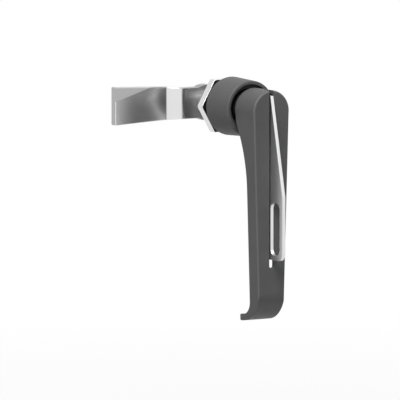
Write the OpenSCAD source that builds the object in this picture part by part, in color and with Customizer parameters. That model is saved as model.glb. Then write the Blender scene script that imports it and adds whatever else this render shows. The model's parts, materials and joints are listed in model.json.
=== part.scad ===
// L-handle quarter-turn cam latch with a swing-out padlock hasp.
// X runs to the right, Y runs into the panel and Z runs up.
// The origin lies on the turning axis, in the plane where the latch seats on the panel.
// Distances called outward are measured from that plane towards the user.

/* [Panel fixing] */
// Radius of the shank at the root of its thread
shank_r = 10.6; // [10.3:0.1:11]
// Width of the shank across the two flats that stop it turning in its hole
shank_flats = 20; // [19:0.25:20.5]
// Length of the shank behind the panel seat
shank_len = 11.5; // [11.5:0.5:15]
// Width of the panel nut across its flats
nut_af = 27; // [26:0.5:30]
// Thickness of the panel nut
nut_t = 4.5; // [3.5:0.25:6]
// Space for the panel, from the seat to the nut
panel_gap = 2.3; // [2.1:0.1:3]
// Thickness of the panel gasket
gasket_t = 1.5; // [1.2:0.1:1.8]
// How far the gasket stands out of the back of the collar
gasket_proud = 0.5; // [0.3:0.1:0.8]

/* [Collar] */
// Outer radius of the collar at the panel
collar_r = 15; // [14.6:0.1:17]
// Outer radius of the collar at its open rim
collar_front_r = 14.3; // [14:0.1:14.6]
// Distance of the open rim from the panel seat
collar_len = 19.4; // [19:0.1:22]
// Wall of the collar at the open rim
rim_wall = 1.9; // [1.5:0.1:2]
// Depth of the open ring round the neck
ring_depth = 2.8; // [2.2:0.2:3.2]
// Depth of the collar's bore, from the open rim to its floor
bore_depth = 16.4; // [16:0.1:16.8]

/* [Spindle] */
// Radius of the spindle
spindle_r = 6.2; // [6:0.1:6.6]
// Wall of the bearing bushes
bush_wall = 1.4; // [1:0.1:1.6]
// Length of each bearing bush
bush_len = 5.5; // [4:0.5:5.5]
// Thickness of the flange on the front bush
bush_flange_t = 1; // [0.8:0.1:1.2]
// Radius of the cross pin that locks the spindle in the neck
spindle_pin_r = 1.25; // [1:0.05:1.4]
// Section radius of the two O-rings
o_ring_r = 0.75; // [0.6:0.05:0.8]
// Angle that the handle turns through
turn_angle = 90; // [60:5:120]

/* [Cam] */
// Distance of the cam behind the panel seat
cam_stand = 22.2; // [19:0.2:28]
// Thickness of the cam plate
cam_t = 4; // [3:0.25:5]
// Radius of the round head of the cam
cam_head_r = 9.25; // [9:0.25:11]
// Width of the cam next to its head
cam_root_w = 16; // [14:0.5:18]
// Width of the cam at its free end
cam_end_w = 19.5; // [17:0.5:24]
// Distance of the free end from the turning axis
cam_reach = 52; // [40:1:70]
// Distance of the bend from the turning axis
cam_bend_x = 15.3; // [14:0.1:20]
// Length of the sloping part, along the cam
cam_bend_run = 5.3; // [4:0.1:8]
// Step of the bend, away from the panel
cam_step = 5; // [3:0.1:6]
// Side of the square hole in the cam
cam_square = 8; // [7.5:0.1:8.2]
// Radius of the bolt that holds the cam
bolt_r = 3; // [2.5:0.25:3.25]

/* [Handle] */
// Radius of the neck inside the collar
neck_r = 9.6; // [9.4:0.1:9.8]
// Radius of the round head of the grip
head_r = 10.9; // [10.6:0.1:11.6]
// Gap between the collar rim and the back of the round head
head_gap = 2.3; // [1.5:0.1:3]
// Distance of the front of the grip from the collar rim
grip_stand = 19.3; // [18.5:0.1:22]
// Depth of the slim part of the grip, front to back
grip_depth = 8.2; // [7:0.1:9]
// Length of the grip below the turning axis
grip_len = 106; // [100:1:140]
// Half width of the grip at its lower end
grip_tip_half_w = 8.2; // [7:0.1:9]
// Thickness of the front wall of the grip
front_wall = 1.8; // [1.5:0.1:2]
// Thickness of the side walls of the grip
side_wall = 1.8; // [1.4:0.1:2.4]
// Round along the front edges of the grip
edge_r = 1.2; // [0.6:0.1:1.5]
// Radius at the front of the lower end
nose_r = 15; // [10:0.5:15]
// How far the hooked lip stands behind the grip
lip_reach = 9.2; // [9:0.2:12]
// Thickness of the hooked lip
lip_t = 3.5; // [2.8:0.1:4.5]
// Drop of the lip's tip below the front of the grip
lip_drop = 1.7; // [0.5:0.1:3]
// Radius of the blend behind the grip, below the neck
blend_r = 70; // [50:1:75]
// Distance of the corner of that blend below the turning axis
blend_down = 24.5; // [22:0.5:26]

/* [Hasp] */
// Thickness of the hasp plate
hasp_t = 2; // [1.8:0.1:2.4]
// How far the padlock loop stands out of the grip
hasp_out = 11.4; // [10:0.1:14]
// Distance below the axis where the sloping edge ends
hasp_slope_end = 42.9; // [38:0.5:46]
// Distance of the lower end of the hasp below the axis
hasp_end = 75.5; // [70:0.5:84]
// Width of the strips beside the padlock slot
hasp_strip = 3; // [2.5:0.1:3.6]
// Width of the strip below the padlock slot
hasp_end_strip = 2.4; // [2:0.1:4]
// Length of the padlock slot
padlock_slot_len = 27; // [20:0.5:28]
// Distance of the hasp pivot behind the front of the grip
pivot_back = 5.5; // [5.3:0.1:5.7]
// Distance of the hasp pivot above the turning axis
pivot_up = 3.6; // [3.2:0.1:3.8]
// Radius of the hasp pin
hasp_pin_r = 2; // [1.8:0.1:2.2]
// Angle that the hasp folds in from the pose shown
fold_angle = 12.5; // [9:0.5:12.5]
// Angle that the hasp swings out further, to drive its tooth home
lock_angle = 5; // [4:0.5:6]

/* [Hidden] */
$fn = 96;
o_ring_facets = 24;

// Fits between pieces
seat_fit = 0.02;
running_fit = 0.05;
face_gap = 0.05;
loose_fit = 0.5;
seal_fit = 0.1;
cut_over = 1;
arc_steps = 10;
half_turn = 180;
full_turn = 360;

// Stack along the turning axis, outward from the panel seat
shelf_d = collar_len - ring_depth;
floor_d = collar_len - bore_depth;
neck_base_d = floor_d + bush_flange_t + face_gap;
head_d = collar_len + head_gap;
front_d = collar_len + grip_stand;
guide_r = neck_r + loose_fit;
rim_r = collar_front_r - rim_wall;
back_chamfer = 0.3;
rim_chamfer = 0.5;
shank_chamfer = 0.6;
bore_r = spindle_r + 0.4;
bush_r = spindle_r + running_fit + bush_wall;
neck_groove_d = neck_base_d + 0.5;
groove_w = 2 * o_ring_r + seal_fit;
groove_depth = 2 * o_ring_r + seal_fit;

// Gasket ring and its groove in the back of the collar
gasket_in_r = shank_r + 0.8;
gasket_out_r = collar_r - 0.8;

// Stop at the rear of the shank: a lug on a washer runs in the gap of a raised ring
stop_t = 1.5;
stop_washer_rim = 2.3;
stop_ring_in_r = spindle_r + stop_washer_rim + 0.3;
stop_ring_out_r = shank_flats / 2 - 0.2;
stop_ring_h = stop_t + 2 * face_gap;
stop_lug_angle = 30;
stop_slack_angle = 1;
stop_lug_start = 72;
clip_t = 1;
clip_depth = 0.9;
clip_rim = 1.6;
clip_gap_angle = 50;
clip_eye_r = 1.5;
clip_eye_hole_r = 0.7;
clip_eye_angle = 8;
clip_d = -shank_len - stop_ring_h - clip_t - face_gap;

// Cam, its washers and its bolt
cam_d = -cam_stand;
bend_r = 2;
spread_r = 8;
spread = 0.5;
cam_corner_r = 0.6;
flat_washer_t = 1.6;
flat_washer_r = 9;
spring_washer_t = 1.6;
spring_washer_rim = 2.4;
washer_hole_r = bolt_r + 0.2;
spring_washer_r = washer_hole_r + spring_washer_rim;
spring_washer_angle = 350;
bolt_head_af = 10;
bolt_head_h = 4;
bolt_thread_len = 17;
square_len = cam_t - 0.4;
washer_d = cam_d - cam_t - flat_washer_t;
lock_washer_d = washer_d - spring_washer_t;

// Grip
grip_back_d = front_d - grip_depth;
wall_inset = 0.05;
taper_angle = atan((head_r - grip_tip_half_w) / (grip_len - nose_r));
blend_angle = 25;
blend_top_d = grip_back_d - blend_down * tan(blend_angle);
lip_tip_d = grip_back_d - lip_reach;
lip_top_z = -(grip_len + lip_drop - lip_t);
lip_fillet_r = 7;
lip_edge_r = 0.8;
hollow_top = 16;
hollow_end = grip_len - nose_r + 1;

// Hasp, in the plane of the outward and upward axes
pivot = [front_d - pivot_back, pivot_up];
hasp_hub_r = pivot_back - 0.9;
hasp_washer_t = 0.6;
hasp_washer_r = pivot_back - front_wall - 0.3;
slit_w = hasp_t + 0.4;
slit_corner_r = 1;
slit_over = 2.5;
well_w = hasp_t + 2 * hasp_washer_t + 0.4;
slit_top_back = 6;
loop_out_d = front_d + hasp_out;
slot_clear = 0.4;
slot_w = hasp_out - slot_clear - hasp_strip;
slot_corner_r = slot_w / 2 - 0.5;
slot_base_d = front_d + slot_clear;
loop_in_d = slot_base_d - hasp_strip;
loop_corner_r = 4;
tooth_in = 3;
tooth_t = 2.8;
tooth_back_d = shelf_d - tooth_in;
tooth_front_d = tooth_back_d + tooth_t;
tooth_tip = neck_r;
tooth_h = 2.4;
tooth_root = tooth_h - tooth_tip;
arm_w = 3.6;
tip_r = 0.4;
arm_r = 0.6;
bend_in_r = 2;
slope_r = 6;
pin_hole_end = 6.6;
pin_tip_gap = 0.2;
pin_head_gap = 0.5;
spring_rise = 0.25;
flank_gap = 0.1;

// Room for the swing of the hasp, from the places of its corners at both ends of the swing
swing_room = 0.6;
roof_step = 2.8;
function swung(p, angle) =
    let (arm = p - pivot)
    pivot + [arm.x * cos(angle) - arm.y * sin(angle), arm.x * sin(angle) + arm.y * cos(angle)];
well_back_d = swung([tooth_back_d, -tooth_tip], -fold_angle).x - swing_room;
well_arm_z = swung([tooth_back_d, tooth_root + arm_w], -fold_angle).y + swing_room;
slit_end = norm([loop_out_d, -hasp_end] - pivot) - pivot.y + slit_over;
notch_w = hasp_t + 2 * loose_fit;
notch_depth = -swung([tooth_back_d, -tooth_tip], lock_angle).y - guide_r + swing_room;
notch_back_d = tooth_back_d - swing_room;

// Seat of the spindle in the neck, short of the hasp's room
spindle_top_d = well_back_d - 0.4;
spindle_pin_d = (neck_groove_d + groove_w + spindle_top_d) / 2;
pin_wall = 0.5;
pin_slit_w = 0.5;
pin_inset = 0.6;

// Colours of the finishes
coat = [0.30, 0.30, 0.31];
zinc = [0.72, 0.73, 0.74];
steel = [0.80, 0.81, 0.82];
black_rubber = [0.08, 0.08, 0.08];
nylon = [0.85, 0.84, 0.80];

// Outlines with rounded corners: each corner is [x, y, radius]
function unit(v) = v / norm(v);
function corner_arc(a, b, c, r) =
    let (
        u = unit(a - b),
        v = unit(c - b),
        half = acos(u * v) / 2,
        centre = b + unit(u + v) * r / sin(half),
        first = b + u * r / tan(half) - centre,
        last = b + v * r / tan(half) - centre,
        start = atan2(first.y, first.x),
        sweep = (atan2(last.y, last.x) - start + full_turn + half_turn) % full_turn - half_turn
    )
    [for (i = [0 : arc_steps]) let (t = start + sweep * i / arc_steps) centre + r * [cos(t), sin(t)]];
function flat(p) = [p.x, p.y];
function rounded(corners) =
    let (count = len(corners))
    [for (i = [0 : count - 1])
        let (a = corners[(i + count - 1) % count], b = corners[i], c = corners[(i + 1) % count])
        each (b[2] == 0 ? [flat(b)] : corner_arc(flat(a), flat(b), flat(c), b[2]))];

// Placing: revolved pieces are drawn as [radius, outward] and plates as [outward, up]
module on_axis() rotate([90, 0, 0]) children();
module revolved(angle = 360) on_axis() rotate_extrude(angle = angle) children();
module ring(in_r, out_r, from_d, to_d) {
    revolved() translate([in_r, from_d]) square([out_r - in_r, to_d - from_d]);
}
module plate_across(width) rotate([90, 0, -90]) linear_extrude(width, center = true) children();
module across(r, length) rotate([0, 90, 0]) cylinder(r = r, h = length, center = true);
module disc(r, from_d, to_d) on_axis() translate([0, 0, from_d]) cylinder(r = r, h = to_d - from_d);

// Collar, floor and threaded shank, cast in one piece
module housing() color(coat) difference() {
    union() {
        revolved() polygon([
            [bore_r, -shank_len], [shank_r - shank_chamfer, -shank_len],
            [shank_r, shank_chamfer - shank_len], [shank_r, gasket_t],
            [gasket_out_r, gasket_t], [gasket_out_r, gasket_proud],
            [collar_r - back_chamfer, gasket_proud], [collar_r, gasket_proud + back_chamfer],
            [collar_front_r, collar_len - rim_chamfer], [collar_front_r - rim_chamfer, collar_len],
            [rim_r, collar_len], [rim_r, shelf_d], [guide_r, shelf_d], [guide_r, floor_d], [bore_r, floor_d]
        ]);
        on_axis() rotate(stop_lug_start + turn_angle + stop_lug_angle + stop_slack_angle)
            translate([0, 0, -shank_len - stop_ring_h])
            rotate_extrude(angle = full_turn - turn_angle - stop_lug_angle - 2 * stop_slack_angle)
            translate([stop_ring_in_r, 0])
            square([stop_ring_out_r - stop_ring_in_r, stop_ring_h + cut_over]);
    }
    disc(bush_r + seat_fit, floor_d - bush_len, floor_d + cut_over);
    disc(bush_r + seat_fit, -shank_len - cut_over, -shank_len + bush_len);
    for (side = [-1, 1])
        translate([side * (shank_flats / 2 + shank_r), (shank_len + stop_ring_h + cut_over) / 2, 0])
            cube([2 * shank_r, shank_len + stop_ring_h + cut_over, 3 * shank_r], center = true);
    for (turn = [0, turn_angle]) rotate([0, -turn, 0])
        translate([-notch_w / 2, -shelf_d - cut_over, -guide_r - notch_depth])
            cube([notch_w, shelf_d - notch_back_d + cut_over, notch_depth + cut_over]);
}

module panel_gasket() color(black_rubber)
    ring(gasket_in_r, gasket_out_r - seat_fit, 0, gasket_t);

// Hexagon nut with the tips of its corners turned down on both faces
module panel_nut() color(zinc) {
    corner_r = nut_af / 2 / cos(30);
    tip = 0.5;
    drop = 0.3;
    translate([0, panel_gap + nut_t / 2, 0]) difference() {
        intersection() {
            on_axis() cylinder(r = corner_r, h = nut_t, center = true, $fn = 6);
            revolved() polygon([
                [0, -nut_t / 2], [corner_r - tip, -nut_t / 2], [corner_r, drop - nut_t / 2],
                [corner_r, nut_t / 2 - drop], [corner_r - tip, nut_t / 2], [0, nut_t / 2]
            ]);
        }
        on_axis() cylinder(r = shank_r + running_fit, h = nut_t + 2 * cut_over, center = true);
    }
}

module front_bush() color(nylon) revolved() polygon([
    [spindle_r + running_fit, floor_d - bush_len], [bush_r, floor_d - bush_len], [bush_r, floor_d],
    [neck_r - 1, floor_d], [neck_r - 1, floor_d + bush_flange_t],
    [spindle_r + running_fit, floor_d + bush_flange_t]
]);

module rear_bush() color(nylon)
    ring(spindle_r + running_fit, bush_r, -shank_len, -shank_len + bush_len);

// Handle: neck and round head, with a hollow grip that ends in a hooked lip
// The last step of an arc, run on past its end
function run_on(arc, length) = arc[arc_steps] + length * unit(arc[arc_steps] - arc[arc_steps - 1]);
function short_of_end(arc) = [for (i = [0 : arc_steps - 1]) arc[i]];
// Front face with the round nose below it
module grip_front() {
    nose = corner_arc([front_d, 0], [front_d, -grip_len], [lip_tip_d, -grip_len - lip_drop], nose_r);
    below = run_on(nose, front_d - lip_tip_d);
    polygon(concat([[0, 2 * head_r], [front_d, 2 * head_r]], short_of_end(nose), [below, [0, below.y]]));
}
// Back of the grip with the blend, the hooked lip and the lower edge
module grip_back() polygon(rounded([
    [front_d + cut_over, head_r + cut_over, 0],
    [front_d + cut_over, cut_over * lip_drop / (front_d - lip_tip_d) - grip_len, 0],
    [lip_tip_d, -grip_len - lip_drop, lip_edge_r],
    [lip_tip_d, lip_top_z, lip_edge_r],
    [grip_back_d, lip_top_z, lip_fillet_r],
    [grip_back_d, -blend_down, blend_r],
    [blend_top_d, 0, 0],
    [blend_top_d, head_r + cut_over, 0]
]));
// Side wall that rounds over to the front face and runs on past it
function rounded_wall(half_w, base, top) =
    let (
        arc = corner_arc([half_w, 0], [half_w, front_d], [0, front_d], edge_r),
        past = run_on(arc, edge_r / arc_steps)
    )
    concat([[half_w, base]], short_of_end(arc), [past, [past.x, top]]);
// Wedge between two leaning walls that run out of the sides of the round head
module grip_wedge(half_w, wall) {
    tall = grip_len + lip_drop + cut_over;
    top = wall[len(wall) - 1].y;
    intersection_for (side = [-1, 1])
        rotate([0, side * taper_angle, 0]) translate([0, 0, -tall]) mirror([0, 1, 0])
            linear_extrude(tall) polygon([
                for (p = concat([[-2 * half_w, top], [-2 * half_w, 0]], wall)) [side * p.x, p.y]
            ]);
}
module handle_body() intersection() {
    half_w = head_r - wall_inset;
    head_top = front_d + 2 * cut_over;
    plate_across(4 * head_r) grip_front();
    union() {
        revolved() polygon(concat([[0, head_top], [0, neck_base_d]], rounded_wall(head_r, neck_base_d, head_top)));
        intersection() {
            plate_across(4 * head_r) grip_back();
            grip_wedge(half_w, rounded_wall(half_w, 0, front_d + 2 * cut_over));
        }
    }
}
// Well that the hasp swings in: round its hub, along its tooth arm and down to the hollow
module hasp_well() {
    roof_d = pivot.x - hasp_hub_r;
    roof = pivot.y + hasp_hub_r + swing_room;
    face_d = front_d - front_wall + wall_inset;
    polygon([
        [well_back_d, -2 * head_r], [well_back_d, well_arm_z],
        [roof_d - swing_room, pivot.y + roof_step], [roof_d + 1.5, roof],
        [face_d, roof], [face_d, -hollow_top - cut_over],
        [head_d, -2 * head_r]
    ]);
}
module handle() color(coat) difference() {
    handle_body();
    ring(neck_r, 2 * head_r, neck_base_d - cut_over, head_d);
    intersection() {
        grip_wedge(head_r - side_wall, [
            [head_r - side_wall, 0], [head_r - side_wall, front_d - front_wall]
        ]);
        translate([-head_r, -front_d, -hollow_end]) cube([2 * head_r, front_d, hollow_end - hollow_top]);
    }
    plate_across(well_w) hasp_well();
    on_axis() translate([0, 0, front_d - front_wall - cut_over]) linear_extrude(front_wall + 2 * cut_over)
        polygon(rounded([
            [slit_w / 2, 0, 0], [-slit_w / 2, 0, 0],
            [-slit_w / 2, -slit_end, slit_corner_r], [slit_w / 2, -slit_end, slit_corner_r]
        ]));
    translate([-slit_w / 2, -front_d - cut_over, -cut_over])
        cube([slit_w, slit_top_back + cut_over, head_r + 2 * cut_over]);
    disc(spindle_r + seat_fit, neck_base_d - cut_over, spindle_top_d + 0.1);
    ring(guide_r - running_fit - groove_depth, guide_r + cut_over, neck_groove_d, neck_groove_d + groove_w);
    translate([0, -spindle_pin_d, 0]) across(spindle_pin_r + seat_fit, 3 * neck_r);
    translate([head_r, -pivot.x, pivot.y]) across(hasp_pin_r + seat_fit, 2 * (head_r + pin_hole_end));
}

module neck_o_ring() color(black_rubber) revolved()
    translate([guide_r - running_fit - o_ring_r, neck_groove_d + groove_w / 2])
    circle(o_ring_r, $fn = o_ring_facets);

// Spindle: round shaft with a seal groove, a clip groove, a square end and a tapped hole
seal_groove_d = -shank_len / 2 + floor_d / 2;
seal_groove_r = bore_r - running_fit - groove_depth;
module spindle() color(steel) difference() {
    union() {
        disc(spindle_r, cam_d, spindle_top_d);
        translate([-cam_square / 2, -cam_d - cut_over, -cam_square / 2])
            cube([cam_square, square_len + cut_over, cam_square]);
    }
    ring(seal_groove_r, bore_r, seal_groove_d - groove_w / 2, seal_groove_d + groove_w / 2);
    ring(spindle_r - clip_depth, bore_r, clip_d - face_gap, clip_d + clip_t + face_gap);
    disc(bolt_r + seat_fit, cam_d - square_len - cut_over, cam_d - square_len + bolt_thread_len);
    translate([0, -spindle_pin_d, 0]) across(spindle_pin_r + seat_fit, 3 * spindle_r);
}

// Rolled pin: a tube with a slit along it
module spindle_pin() color(steel) translate([0, -spindle_pin_d, 0]) difference() {
    across(spindle_pin_r, 2 * (neck_r - pin_inset));
    across(spindle_pin_r - pin_wall, 3 * neck_r);
    translate([0, 0, spindle_pin_r]) cube([3 * neck_r, pin_slit_w, spindle_pin_r], center = true);
}

module spindle_o_ring() color(black_rubber) revolved()
    translate([bore_r - running_fit - o_ring_r, seal_groove_d]) circle(o_ring_r, $fn = o_ring_facets);

// Washer with a lug that meets the ends of the raised ring at both ends of the turn
module stop_washer() color(zinc) {
    washer_back_d = -shank_len - face_gap - stop_t;
    ring(spindle_r + seat_fit, spindle_r + stop_washer_rim, washer_back_d, washer_back_d + stop_t);
    on_axis() rotate(stop_lug_start) translate([0, 0, washer_back_d])
        rotate_extrude(angle = stop_lug_angle) translate([spindle_r + 1, 0])
        square([stop_ring_out_r - spindle_r - 1, stop_t]);
}

// Snap ring with two eyes beside its gap
module retaining_ring() color(steel) {
    in_r = spindle_r - clip_depth + seat_fit;
    out_r = spindle_r + clip_rim;
    on_axis() translate([0, 0, clip_d]) {
        rotate(clip_gap_angle / 2 - 90) rotate_extrude(angle = full_turn - clip_gap_angle)
            translate([in_r, 0]) square([out_r - in_r, clip_t]);
        for (side = [-1, 1]) rotate(side * (clip_gap_angle / 2 + clip_eye_angle) - 90)
            translate([out_r, 0, 0]) difference() {
                cylinder(r = clip_eye_r, h = clip_t);
                translate([0, 0, -cut_over]) cylinder(r = clip_eye_hole_r, h = clip_t + 2 * cut_over);
            }
    }
}

// Cam: a strip bent away from the panel, cut to a round head and a widening arm
module cam_profile() {
    bend_angle = atan(cam_step / cam_bend_run);
    shift = cam_t * tan(bend_angle / 2);
    bend_end_x = cam_bend_x + cam_bend_run;
    front = cam_d;
    polygon(rounded([
        [cam_head_r + cut_over, front, 0],
        [-cam_bend_x, front, bend_r + cam_t],
        [-bend_end_x, front - cam_step, bend_r],
        [-cam_reach, front - cam_step, 0],
        [-cam_reach, front - cam_step - cam_t, 0],
        [shift - bend_end_x, front - cam_step - cam_t, bend_r + cam_t],
        [shift - cam_bend_x, front - cam_t, bend_r],
        [cam_head_r + cut_over, front - cam_t, 0]
    ]));
}
module cam_outline() {
    spread_start = cam_bend_x + cam_bend_run;
    root = cam_root_w / 2;
    end = cam_end_w / 2;
    circle(cam_head_r);
    polygon(rounded([
        [0, root, 0], [-cam_bend_x, root, spread_r], [-spread_start, root + spread, spread_r],
        [-cam_reach, end, cam_corner_r], [-cam_reach, -end, cam_corner_r],
        [-spread_start, -root - spread, spread_r], [-cam_bend_x, -root, spread_r], [0, -root, 0]
    ]));
}
module cam() color(zinc) difference() {
    intersection() {
        linear_extrude(2 * cam_end_w, center = true) mirror([0, 1]) cam_profile();
        on_axis() translate([0, 0, cam_d - cam_step - 2 * cam_t]) linear_extrude(3 * cam_t + cam_step)
            cam_outline();
    }
    translate([0, cam_t / 2 - cam_d, 0])
        cube([cam_square + 2 * running_fit, 2 * cam_t, cam_square + 2 * running_fit], center = true);
}

module cam_flat_washer() color(zinc) ring(washer_hole_r, flat_washer_r, washer_d, washer_d + flat_washer_t);

module cam_spring_washer() color(zinc) on_axis() translate([0, 0, lock_washer_d])
    rotate_extrude(angle = spring_washer_angle) translate([washer_hole_r, 0])
    square([spring_washer_r - washer_hole_r, spring_washer_t]);

module cam_bolt() color(zinc) {
    thread_end_d = cam_d - square_len + bolt_thread_len - 1;
    head_r = bolt_head_af / 2 / cos(30);
    disc(bolt_r, lock_washer_d, thread_end_d);
    intersection() {
        on_axis() translate([0, 0, lock_washer_d - bolt_head_h]) cylinder(r = head_r, h = bolt_head_h, $fn = 6);
        revolved() translate([0, lock_washer_d]) polygon([
            [0, 0], [head_r, 0], [head_r, 0.5 - bolt_head_h], [head_r - 0.8, -bolt_head_h], [0, -bolt_head_h]
        ]);
    }
}

// Hasp: hub, sloping blade, padlock loop and the tooth arm that reaches into the collar
module hasp_outline() difference() {
    hub_top = pivot.y + hasp_hub_r;
    hub_back_d = pivot.x - hasp_hub_r;
    polygon(rounded([
        [front_d + 0.2, hub_top, 0.5],
        [loop_out_d, -hasp_slope_end, slope_r],
        [loop_out_d, -hasp_end, loop_corner_r],
        [loop_in_d, -hasp_end, bend_in_r],
        [loop_in_d, -hasp_slope_end, slope_r],
        [hub_back_d + 1, pivot.y - 1.7 * hasp_hub_r, bend_in_r],
        [tooth_front_d, tooth_root, arm_r],
        [tooth_front_d, -tooth_tip, tip_r],
        [tooth_back_d, -tooth_tip, tip_r],
        [tooth_back_d, tooth_root + arm_w, arm_r],
        [hub_back_d, pivot.y + 0.4 * hasp_hub_r, bend_in_r],
        [pivot.x - 0.5 * hasp_hub_r, hub_top, bend_in_r]
    ]));
    translate([slot_base_d, hasp_end_strip - hasp_end]) polygon(rounded([
        [0, 0, slot_corner_r], [slot_w, 0, slot_corner_r],
        [slot_w, padlock_slot_len, slot_corner_r], [0, padlock_slot_len, slot_corner_r]
    ]));
}
module hasp_plate() color(steel) difference() {
    plate_across(hasp_t) hasp_outline();
    translate([0, -pivot.x, pivot.y]) across(hasp_pin_r + running_fit, 2 * hasp_t);
}

module hasp_pin() color(steel) {
    pin_end = sqrt(head_r * head_r - pivot_up * pivot_up) - pin_head_gap;
    pin_start = pin_tip_gap - pin_hole_end;
    translate([(pin_start + pin_end) / 2, -pivot.x, pivot.y]) across(hasp_pin_r, pin_end - pin_start);
}

module hasp_washer() color(steel) translate([-hasp_t / 2 - flank_gap - hasp_washer_t / 2, -pivot.x, pivot.y])
    difference() {
        across(hasp_washer_r, hasp_washer_t);
        across(hasp_pin_r + running_fit, 2 * hasp_washer_t);
    }

// Coned disc spring that presses on the flank of the hasp, so that it stays where it is put
module hasp_disc_spring() color(steel) translate([hasp_t / 2 + flank_gap, -pivot.x, pivot.y])
    rotate([0, 90, 0]) rotate_extrude() polygon([
        [hasp_pin_r + running_fit, spring_rise], [hasp_pin_r + running_fit, hasp_washer_t],
        [hasp_washer_r, hasp_washer_t - spring_rise], [hasp_washer_r, 0]
    ]);

housing();
panel_gasket();
panel_nut();
front_bush();
rear_bush();
handle();
neck_o_ring();
spindle();
spindle_pin();
spindle_o_ring();
stop_washer();
retaining_ring();
cam();
cam_flat_washer();
cam_spring_washer();
cam_bolt();
hasp_plate();
hasp_pin();
hasp_washer();
hasp_disc_spring();
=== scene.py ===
"""Looks of an L-handle cam latch with a swing-out padlock hasp."""

import json
import math

import bmesh
import bpy
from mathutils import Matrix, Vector


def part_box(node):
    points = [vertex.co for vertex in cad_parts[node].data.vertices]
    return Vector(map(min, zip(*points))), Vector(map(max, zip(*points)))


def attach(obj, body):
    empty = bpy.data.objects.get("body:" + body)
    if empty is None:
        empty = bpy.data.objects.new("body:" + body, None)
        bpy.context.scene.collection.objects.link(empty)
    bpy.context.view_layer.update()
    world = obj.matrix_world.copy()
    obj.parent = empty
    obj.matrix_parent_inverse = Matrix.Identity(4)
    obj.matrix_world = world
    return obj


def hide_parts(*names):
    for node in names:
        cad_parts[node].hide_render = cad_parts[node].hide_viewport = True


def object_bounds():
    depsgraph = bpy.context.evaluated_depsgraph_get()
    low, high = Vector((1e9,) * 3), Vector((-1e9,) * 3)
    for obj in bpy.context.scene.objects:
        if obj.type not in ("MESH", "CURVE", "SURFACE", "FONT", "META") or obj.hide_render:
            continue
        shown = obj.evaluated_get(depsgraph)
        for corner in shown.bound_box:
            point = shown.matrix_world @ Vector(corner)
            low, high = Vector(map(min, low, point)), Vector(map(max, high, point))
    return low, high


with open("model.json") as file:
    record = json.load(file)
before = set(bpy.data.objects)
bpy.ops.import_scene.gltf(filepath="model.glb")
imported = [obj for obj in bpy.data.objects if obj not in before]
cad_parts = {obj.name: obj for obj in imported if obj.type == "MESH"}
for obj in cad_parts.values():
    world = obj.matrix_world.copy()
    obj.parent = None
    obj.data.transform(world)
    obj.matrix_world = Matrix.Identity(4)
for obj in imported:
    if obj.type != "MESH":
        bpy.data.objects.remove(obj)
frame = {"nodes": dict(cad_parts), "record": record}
cad_low, cad_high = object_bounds()
scene = bpy.context.scene
scene.view_settings.view_transform = "Standard"
nodes = frame["nodes"]
record = frame["record"]
body_of = {node: body for body, names in record["behaviour"]["bodies"].items() for node in names}
slot_of = {row["node"]: row["material_slot"] for row in record["subparts"]}
MM = 0.001


class Value:
    """A socket of a shader: arithmetic on it adds Math nodes."""

    def __init__(self, sheet, socket):
        self.sheet = sheet
        self.socket = socket

    def maths(self, operation, first, second):
        return self.sheet.node("Math", {"operation": operation}, {0: first, 1: second})

    def __add__(self, other):
        return self.maths("ADD", self, other)

    def __radd__(self, other):
        return self.maths("ADD", other, self)

    def __sub__(self, other):
        return self.maths("SUBTRACT", self, other)

    def __rsub__(self, other):
        return self.maths("SUBTRACT", other, self)

    def __mul__(self, other):
        return self.maths("MULTIPLY", self, other)

    def __rmul__(self, other):
        return self.maths("MULTIPLY", other, self)

    def __abs__(self):
        return self.maths("ABSOLUTE", self, 0)

    def most(self, other):
        return self.maths("MAXIMUM", self, other)

    def over(self, low, high):
        """Runs from 0 at low to 1 at high, and stays between them."""
        sockets = {"Value": self, "From Min": low, "From Max": high}
        return self.sheet.node("MapRange", {"clamp": True}, sockets, "Result")


class Sheet:
    """A node tree. node() adds any node and gives one of its outputs."""

    def __init__(self, tree):
        self.tree = tree
        tree.nodes.clear()

    def node(self, kind, settings=None, inputs=None, output=0):
        made = self.tree.nodes.new("ShaderNode" + kind)
        for key, setting in (settings or {}).items():
            setattr(made, key, setting)
        for key, given in (inputs or {}).items():
            if isinstance(given, Value):
                self.tree.links.new(given.socket, made.inputs[key])
            else:
                made.inputs[key].default_value = given
        return Value(self, made.outputs[output]) if made.outputs else None

    def place(self):
        return self.node("TexCoord", output="Object")

    def along(self, axis):
        """Place along an axis of the part, in mm."""
        return self.node("SeparateXYZ", {}, {0: self.place()}, axis) * (1 / MM)

    def facing(self, axis):
        """Share of the surface's direction that points along an axis of the part."""
        return self.node("SeparateXYZ", {}, {0: self.node("TexCoord", output="Normal")}, axis)

    def grain(self, scale, detail=3, stretch=(1, 1, 1)):
        """Noise between 0 and 1, with its features stretched along the axes."""
        spot = self.node("Mapping", {}, {"Vector": self.place(), "Scale": stretch})
        return self.node("TexNoise", {}, {"Vector": spot, "Scale": scale, "Detail": detail}, "Fac")

    def blend(self, share, first, second):
        """Mix of two colours, first where the share is 0."""
        return self.node("Mix", {"data_type": "RGBA"}, {"Factor": share, 6: first, 7: second}, 2)

    def bump(self, height, depth_mm, strength):
        sockets = {"Height": height, "Distance": depth_mm * MM, "Strength": strength}
        return self.node("Bump", {}, sockets)

    def seen(self):
        """1 for rays from the camera, from gloss and through glass, and 0 for all other light."""
        camera_ray = self.node("LightPath", output="Is Camera Ray")
        glossy_ray = self.node("LightPath", output="Is Glossy Ray")
        clear_ray = self.node("LightPath", output="Is Transmission Ray")
        return camera_ray.most(glossy_ray).most(clear_ray)


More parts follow.
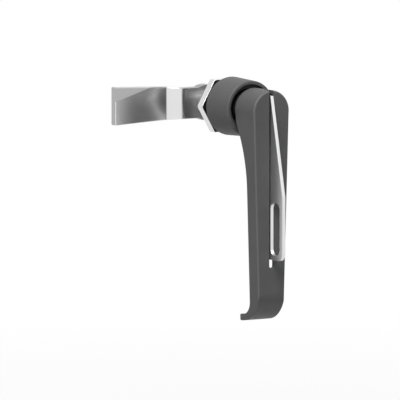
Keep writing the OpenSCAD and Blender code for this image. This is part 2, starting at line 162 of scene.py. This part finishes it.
class Finish(Sheet):
    """A node material."""

    def __init__(self, name):
        self.material = bpy.data.materials.new(name)
        self.material.use_nodes = True
        super().__init__(self.material.node_tree)

    def show(self, shader):
        self.node("OutputMaterial", {}, {"Surface": shader})
        return self.material

    def done(self, sockets):
        return self.show(self.node("BsdfPrincipled", {}, sockets))


# How far noise is stretched, for brushing along an axis
ALONG_X = (0.04, 1, 1)
ALONG_Y = (1, 0.04, 1)
ALONG_Z = (1, 1, 0.04)
EVEN = (1, 1, 1)

# Where painted shade begins and where it is full, in mm: on the cam inside its bend, on the hasp
# behind the front of the grip, and on the neck of the grip inside the collar
grip_front_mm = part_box("handle")[0][1] / MM
collar_rim_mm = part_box("housing")[0][1] / MM
CAM_PAINTED_SHADE = (-14.6, -12.6)
HASP_PAINTED_SHADE = (grip_front_mm - 0.1, grip_front_mm + 0.5)
NECK_PAINTED_SHADE = (collar_rim_mm - 0.3, collar_rim_mm + 0.5)

COAT_LEVEL = 0.075
# Near black of the painted shade on the neck inside the collar's recess
PAINTED_SHADE_BLACK = 0.006


def grey(level, tint=0.0):
    """A neutral colour, slightly blue where the tint is above 0."""
    return (level, level, level * (1 + tint), 1)


def powder_coat(name, edge_highlight_level, painted_shade_mm=None):
    """Satin powder coat: fine orange peel, slight cloudiness, a painted highlight over the rounded
    edges, and painted shade past a line where one is given.
    """
    coat = Finish(name)
    cloud = coat.grain(scale=60, detail=4)
    peel = coat.grain(scale=2600, detail=2)
    speck = coat.grain(scale=9000, detail=2)
    slant = abs(coat.facing("Y"))
    rounding = slant.over(0.3, 0.5) * slant.over(0.97, 0.9)
    dark = grey(COAT_LEVEL * 0.93, tint=0.02)
    light = grey(COAT_LEVEL * 1.07, tint=0.02)
    clouded = coat.blend(cloud.over(0.3, 0.7), dark, light)
    # Painted highlight: a lighter colour over the rounded edges
    tone = coat.blend(rounding, clouded, grey(edge_highlight_level))
    # Painted shade: the neck goes near black where it runs inside the collar's recess
    if painted_shade_mm:
        tone = coat.blend(coat.along("Y").over(*painted_shade_mm), tone, grey(PAINTED_SHADE_BLACK))
    return coat.done({
        "Base Color": tone,
        "Roughness": 0.44 + 0.1 * cloud,
        "Specular IOR Level": 0.12,
        "Normal": coat.bump(peel * 0.8 + speck * 0.2, depth_mm=0.02, strength=0.3),
    })


class Steel(Finish):
    """Steel with faint brushing and slight clouds."""

    def __init__(self, name, level, brush_scale, brush):
        super().__init__(name)
        self.line = self.grain(brush_scale, stretch=brush)
        self.cloud = self.grain(scale=90)
        self.tone = self.blend(self.cloud.over(0.25, 0.75), grey(level * 0.96), grey(level * 1.03))

    def polished(self, tone, rough, depth_mm):
        return self.done({
            "Base Color": tone,
            "Metallic": 1.0,
            "Roughness": rough + 0.04 * self.line + 0.03 * self.cloud,
            "Normal": self.bump(self.line, depth_mm, strength=0.2),
        })


def bright_steel(name, level, rough, brush_scale, brush, depth_mm):
    """Zinc-plated or turned steel."""
    steel = Steel(name, level, brush_scale, brush)
    return steel.polished(steel.tone, rough, depth_mm)


def plate_with_painted_shade(name, level, rough, brush, cut_level, painted_shade_axis, painted_shade_mm, painted_shade_level):
    """Steel plate with painted shade past a line across an axis, and duller where it was cut."""
    plate = Steel(name, level, 1600, brush)
    # Painted shade past a line: on the cam it stands for a dark reflection of the shank, on the hasp for
    # the shade inside the slit
    painted_shade_share = (plate.along(painted_shade_axis) + plate.cloud * 0.4).over(*painted_shade_mm)
    cut_side = 1 - abs(plate.facing("Y")).over(0.2, 0.4)
    cut_top = plate.facing("Z").over(0.04, 0.06)
    clean = plate.blend(cut_side.most(cut_top), plate.tone, grey(cut_level))
    tone = plate.blend(painted_shade_share, clean, grey(painted_shade_level))
    return plate.polished(tone, rough + 0.05 * painted_shade_share, depth_mm=0.001)


def rubber(name):
    """Matt black rubber with a little dust."""
    seal = Finish(name)
    dust = seal.grain(scale=700, detail=4)
    return seal.done({
        "Base Color": seal.blend(dust.over(0.4, 0.8), grey(0.012), grey(0.03)),
        "Roughness": 0.65 + 0.2 * dust,
        "Normal": seal.bump(dust, depth_mm=0.03, strength=0.4),
    })


def nylon(name):
    """Natural nylon, slightly yellow."""
    plastic = Finish(name)
    cloud = plastic.grain(scale=300)
    return plastic.done({
        "Base Color": plastic.blend(cloud, (0.74, 0.73, 0.67, 1), (0.82, 0.81, 0.76, 1)),
        "Roughness": 0.4 + 0.15 * cloud,
        "Normal": plastic.bump(cloud, depth_mm=0.02, strength=0.3),
    })


finishes = {
    # Both coats get a painted highlight on their rounded edges, and the handle gets painted shade on its
    # neck inside the collar
    "housing_coat": powder_coat("housing_coat", edge_highlight_level=0.082),
    "handle_coat": powder_coat("handle_coat", edge_highlight_level=0.1, painted_shade_mm=NECK_PAINTED_SHADE),
    "seal_rubber": rubber("seal_rubber"),
    "bush_nylon": nylon("bush_nylon"),
    "nut_zinc": bright_steel(
        "nut_zinc", level=0.72, rough=0.12, brush_scale=1600, brush=ALONG_Y, depth_mm=0.004),
    "spindle_steel": bright_steel(
        "spindle_steel", level=0.6, rough=0.2, brush_scale=1600, brush=ALONG_Y, depth_mm=0.006),
    "fastener_zinc": bright_steel(
        "fastener_zinc", level=0.68, rough=0.2, brush_scale=1200, brush=EVEN, depth_mm=0.006),
    # The cam gets painted shade inside its bend, the hasp inside the grip's slit
    "cam_steel": plate_with_painted_shade(
        "cam_steel", level=0.76, rough=0.2, brush=ALONG_X, cut_level=0.42,
        painted_shade_axis="X", painted_shade_mm=CAM_PAINTED_SHADE, painted_shade_level=0.34),
    # Painted shade: the hasp is near black behind the front of the grip, inside the slit
    "hasp_steel": plate_with_painted_shade(
        "hasp_steel", level=0.74, rough=0.32, brush=ALONG_Z, cut_level=0.74,
        painted_shade_axis="Y", painted_shade_mm=HASP_PAINTED_SHADE, painted_shade_level=0.08),
}

for node, slot in slot_of.items():
    nodes[node].data.materials.clear()
    nodes[node].data.materials.append(finishes[slot])


def show_piece(shape, name, body, slot):
    """Makes an object of the shape, in its finish, that moves with a body."""
    mesh = bpy.data.meshes.new(name)
    shape.to_mesh(mesh)
    shape.free()
    mesh.materials.append(finishes[slot])
    piece = bpy.data.objects.new(name, mesh)
    scene.collection.objects.link(piece)
    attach(piece, body)
    return piece


# Width of the broken edge of each piece, in mm, the steps across it, and the angle, in degrees,
# from which an edge is sharp and below which it is none
EDGE = {
    "housing": 0.2,
    "panel_gasket": 0.15,
    "panel_nut": 0.2,
    "front_bush": 0.1,
    "rear_bush": 0.1,
    "handle": 0.12,
    "spindle": 0.15,
    "stop_washer": 0.15,
    "retaining_ring": 0.1,
    "cam": 0.35,
    "cam_flat_washer": 0.2,
    "cam_spring_washer": 0.15,
    "hasp_plate": 0.2,
    "hasp_pin": 0.2,
    "hasp_washer": 0.1,
}
EDGE_STEPS = 3
SHARP_ANGLE = 30
FLAT_ANGLE = 0.5

# Points closer than this are joined, in mm: more where slivers would spoil the broken edge
WELD_FINE = 0.001
WELD = {"cam": 0.06, "stop_washer": 0.03}

# Share of a face's direction along an axis: above the first it faces that way, and below the
# second it runs along the axis
FACING = 0.99
ACROSS = 0.1

# Lead-in ground on the front of the cam, at the upper corner of its free end, in mm
LEAD_LONG = 22
LEAD_HIGH = 7.4
LEAD_DEEP = 1.3


def ground_lead_in(shape):
    """Tilts the upper corner of the cam's front face back, along a slanting crease."""
    forward = [face for face in shape.faces if face.normal.y < -FACING]
    front = max(forward, key=lambda face: face.calc_area())
    end_x = min(vert.co.x for vert in front.verts)
    top_z = max(vert.co.z for vert in front.verts)
    starts = []
    for edge in list(front.edges):
        first, last = sorted(edge.verts, key=lambda vert: vert.co.x)
        length_x = last.co.x - first.co.x
        if length_x < WELD_FINE * MM and first.co.x - end_x < WELD_FINE * MM:
            low, high = sorted(edge.verts, key=lambda vert: vert.co.z)
            share = (top_z - LEAD_HIGH * MM - low.co.z) / (high.co.z - low.co.z)
            starts.append(bmesh.utils.edge_split(edge, low, share)[1])
        elif length_x > LEAD_LONG * MM and first.co.z > 0:
            share = (end_x + LEAD_LONG * MM - first.co.x) / length_x
            starts.append(bmesh.utils.edge_split(edge, first, share)[1])
    low, high = sorted(starts, key=lambda vert: vert.co.z)
    corner = bmesh.utils.face_split(front, low, high)[0]
    if high.co.x < corner.calc_center_median().x:
        corner = next(face for face in high.link_faces if low in face.verts and face is not corner)
    crease = (high.co - low.co).normalized()
    away = crease.cross(Vector((0, -1, 0)))
    depths = {vert: abs((vert.co - low.co).dot(away)) for vert in corner.verts}
    deepest = max(depths.values())
    for vert, depth in depths.items():
        vert.co.y += LEAD_DEEP * MM * depth / deepest
    for face in (front, corner):
        face.smooth = False


# The slit of the grip with room for rounding, and how far its walls and the hasp's flanks stand
# back, in mm
SLIT_HALF = 1.2
SLIT_ROOM = 0.01
SLIT_BACK = 0.18
FLANK_BACK = 0.1


def open_slit(shape):
    """Moves the walls and round ends of the slit outwards, so that it shows as a dark line."""
    edge_x = (SLIT_HALF + SLIT_ROOM) * MM
    inside = {face for face in shape.faces if all(abs(vert.co.x) < edge_x for vert in face.verts)}
    walls = {face for face in inside if abs(face.normal.x) > FACING}
    slit = set(walls)
    while walls:
        beside = {face for wall in walls for edge in wall.edges for face in edge.link_faces}
        walls = {face for face in beside & inside - slit if abs(face.normal.y) < ACROSS}
        slit |= walls
    for vert in {vert for face in slit for vert in face.verts}:
        vert.co.x *= 1 + SLIT_BACK / SLIT_HALF


def ground_flanks(shape):
    """Takes a little off both flanks of the hasp."""
    half = max(vert.co.x for vert in shape.verts)
    for vert in shape.verts:
        vert.co.x *= 1 - FLANK_BACK * MM / half


# What is done to a piece's shape before its edges are broken
DETAIL = {"cam": ground_lead_in, "handle": open_slit, "hasp_plate": ground_flanks}


def broken_edges(node):
    """The node's shape with its sharp edges rounded, which stands for the node."""
    shape = bmesh.new()
    shape.from_mesh(nodes[node].data)
    weld = WELD.get(node, WELD_FINE) * MM
    flat = math.radians(FLAT_ANGLE)
    bmesh.ops.remove_doubles(shape, verts=shape.verts, dist=weld)
    bmesh.ops.dissolve_degenerate(shape, dist=weld, edges=shape.edges)
    bmesh.ops.dissolve_limit(shape, angle_limit=flat, verts=shape.verts, edges=shape.edges)
    for face in shape.faces:
        face.smooth = True
    if node in DETAIL:
        DETAIL[node](shape)
    piece = show_piece(shape, node + "_edged", body_of[node], slot_of[node])
    edge = piece.modifiers.new("edge", "BEVEL")
    edge.width = EDGE[node] * MM
    edge.segments = EDGE_STEPS
    edge.limit_method = "ANGLE"
    edge.angle_limit = math.radians(SHARP_ANGLE)
    edge.use_clamp_overlap = False
    even = piece.modifiers.new("even", "WEIGHTED_NORMAL")
    even.keep_sharp = True
    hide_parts(node)


for node in EDGE:
    broken_edges(node)

# Thread of the shank, in mm: a ridge on the plain wall, cut off where the two flats are
THREAD_ROOT = 10.55
THREAD_CREST = 11.0
THREAD_PITCH = 1.5
FLAT_X = 9.97

# Half the width of the ridge at its root and at its crest, as shares of the pitch, the steps in a
# turn, and the steps in which the ridge rises at one end and falls at the other
ROOT_HALF = 0.45
CREST_HALF = 0.1
TURN_STEPS = 96
RISE_STEPS = 24


def thread(name, from_mm, to_mm):
    """A ridge that winds round the shank, between two distances behind the panel seat."""
    turns = (to_mm - from_mm) / THREAD_PITCH - 1
    count = round(turns * TURN_STEPS)
    shape = bmesh.new()
    rows = []
    for step in range(count + 1):
        angle = 2 * math.pi * step / TURN_STEPS
        middle = from_mm + THREAD_PITCH * (step / TURN_STEPS + 0.5)
        rise = min(1, step / RISE_STEPS, (count - step) / RISE_STEPS)
        crest = THREAD_ROOT + (THREAD_CREST - THREAD_ROOT) * rise
        upward = ((THREAD_ROOT, -ROOT_HALF), (crest, -CREST_HALF))
        downward = ((crest, CREST_HALF), (THREAD_ROOT, ROOT_HALF))
        row = []
        for radius, along in upward + downward:
            side = max(-FLAT_X, min(FLAT_X, radius * math.cos(angle)))
            spot = Vector((side, middle + along * THREAD_PITCH, radius * math.sin(angle)))
            row.append(shape.verts.new(spot * MM))
        rows.append(row)
    for here, there in zip(rows, rows[1:]):
        for i in range(len(here)):
            shape.faces.new((here[i - 1], there[i - 1], there[i], here[i]))
    shape.faces.new(reversed(rows[0]))
    shape.faces.new(rows[-1])
    bmesh.ops.recalc_face_normals(shape, faces=shape.faces)
    show_piece(shape, name, "housing", "housing_coat")


nut_back_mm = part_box("panel_nut")[1][1] / MM
shank_end_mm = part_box("rear_bush")[1][1] / MM
thread("shank_thread", nut_back_mm, shank_end_mm)


def direction(azimuth, elevation):
    """Unit vector from the object towards a viewer."""
    turn, rise = math.radians(azimuth), math.radians(elevation)
    flat = math.cos(rise)
    return Vector((math.sin(turn) * flat, -math.cos(turn) * flat, math.sin(rise)))


def aimed(name, data, target, back, distance):
    """Adds a camera or a lamp that looks at a place."""
    made = bpy.data.objects.new(name, data)
    made.location = target + back * distance
    made.rotation_mode = "QUATERNION"
    made.rotation_quaternion = (-back).to_track_quat("-Z", "Y")
    scene.collection.objects.link(made)
    return made


# Photograph: the picture's size, and the pixel where the centre of the nut's front face shows
PICTURE_PX = 400
NUT_CENTRE_PX = (227.55, 105.28)
PIXELS_PER_MM = 1.96
VIEW_AZIMUTH = -33.07
VIEW_ELEVATION = 5.96

# A lens so long that the picture shows no perspective, and its film, in mm
LENS = 1200
SENSOR = 36
NEAR_CLIP = 0.1
FAR_CLIP = 50


def make_camera():
    """Puts the nut where the photograph shows it."""
    back = direction(VIEW_AZIMUTH, VIEW_ELEVATION)
    right = direction(VIEW_AZIMUTH + 90, 0)
    up = back.cross(right)
    pixel = MM / PIXELS_PER_MM
    nut_front = Vector((0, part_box("panel_nut")[0][1], 0))
    right_px = NUT_CENTRE_PX[0] - PICTURE_PX / 2
    up_px = PICTURE_PX / 2 - NUT_CENTRE_PX[1]
    aim = nut_front - right * right_px * pixel - up * up_px * pixel
    lens = bpy.data.cameras.new("photo_camera")
    lens.lens = LENS
    lens.sensor_width = SENSOR
    lens.clip_start = NEAR_CLIP
    lens.clip_end = FAR_CLIP
    scene.camera = aimed("photo_camera", lens, aim, back, PICTURE_PX * pixel * LENS / SENSOR)


# Studio, in metres: a white surround that lights the part more from one side, a pale floor below
# the part and soft lamps
BRIGHT_SIDE = (-0.6, -0.45, 0.66)
AMBIENT_FAR = 0.05
AMBIENT_NEAR = 0.4
FLOOR_DROP = 0.06
FLOOR_R = 0.5
FLOOR_LEVEL = 0.55
FLOOR_GLOW = 0.9
FADE_FROM_R = 0.15
LAMP_DISTANCE = 1.1


def make_world():
    """White where it is seen, and dimmer as light on the part."""
    world = bpy.data.worlds.new("studio")
    scene.world = world
    world.use_nodes = True
    sky = Sheet(world.node_tree)
    way = sky.node("TexCoord", output="Generated")
    towards = sky.node("VectorMath", {"operation": "DOT_PRODUCT"}, {0: way, 1: BRIGHT_SIDE}, "Value")
    level = AMBIENT_FAR + (AMBIENT_NEAR - AMBIENT_FAR) * towards.over(-1, 1)
    ambient = sky.node("Background", {}, {"Color": grey(1.0), "Strength": level})
    white = sky.node("Background", {}, {"Color": grey(1.0), "Strength": 1.0})
    both = sky.node("MixShader", {}, {"Fac": sky.seen(), 1: ambient, 2: white})
    sky.node("OutputWorld", {}, {"Surface": both})


def make_floor():
    """A round floor that fades into the surround towards its edge."""
    mesh = bpy.data.meshes.new("floor")
    shape = bmesh.new()
    bmesh.ops.create_circle(shape, cap_ends=True, segments=96, radius=FLOOR_R)
    shape.to_mesh(mesh)
    shape.free()
    floor = bpy.data.objects.new("floor", mesh)
    floor.location.z = cad_low[2] - FLOOR_DROP
    scene.collection.objects.link(floor)
    paint = Finish("floor_paint")
    matt = paint.node("BsdfDiffuse", {}, {"Color": grey(FLOOR_LEVEL)})
    glow = paint.node("Emission", {}, {"Color": grey(1.0), "Strength": 1.0})
    seen = paint.node("MixShader", {}, {"Fac": paint.seen() * FLOOR_GLOW, 1: matt, 2: glow})
    reach = paint.node("VectorMath", {"operation": "LENGTH"}, {0: paint.place()}, "Value")
    clear = paint.node("BsdfTransparent")
    faded = paint.node("MixShader", {}, {"Fac": reach.over(FADE_FROM_R, FLOOR_R), 1: seen, 2: clear})
    mesh.materials.append(paint.show(faded))


def lamp(name, azimuth, elevation, size, watts):
    """A square soft lamp that looks at the middle of the part."""
    light = bpy.data.lights.new(name, "AREA")
    light.shape = "SQUARE"
    light.size = size
    light.energy = watts
    middle = (Vector(cad_low) + Vector(cad_high)) / 2
    aimed(name, light, middle, direction(azimuth, elevation), LAMP_DISTANCE)


make_camera()
make_world()
make_floor()
lamp("key", azimuth=-46, elevation=54, size=0.6, watts=17)
lamp("fill", azimuth=40, elevation=50, size=0.8, watts=3)
lamp("top", azimuth=-20, elevation=80, size=1.2, watts=1)
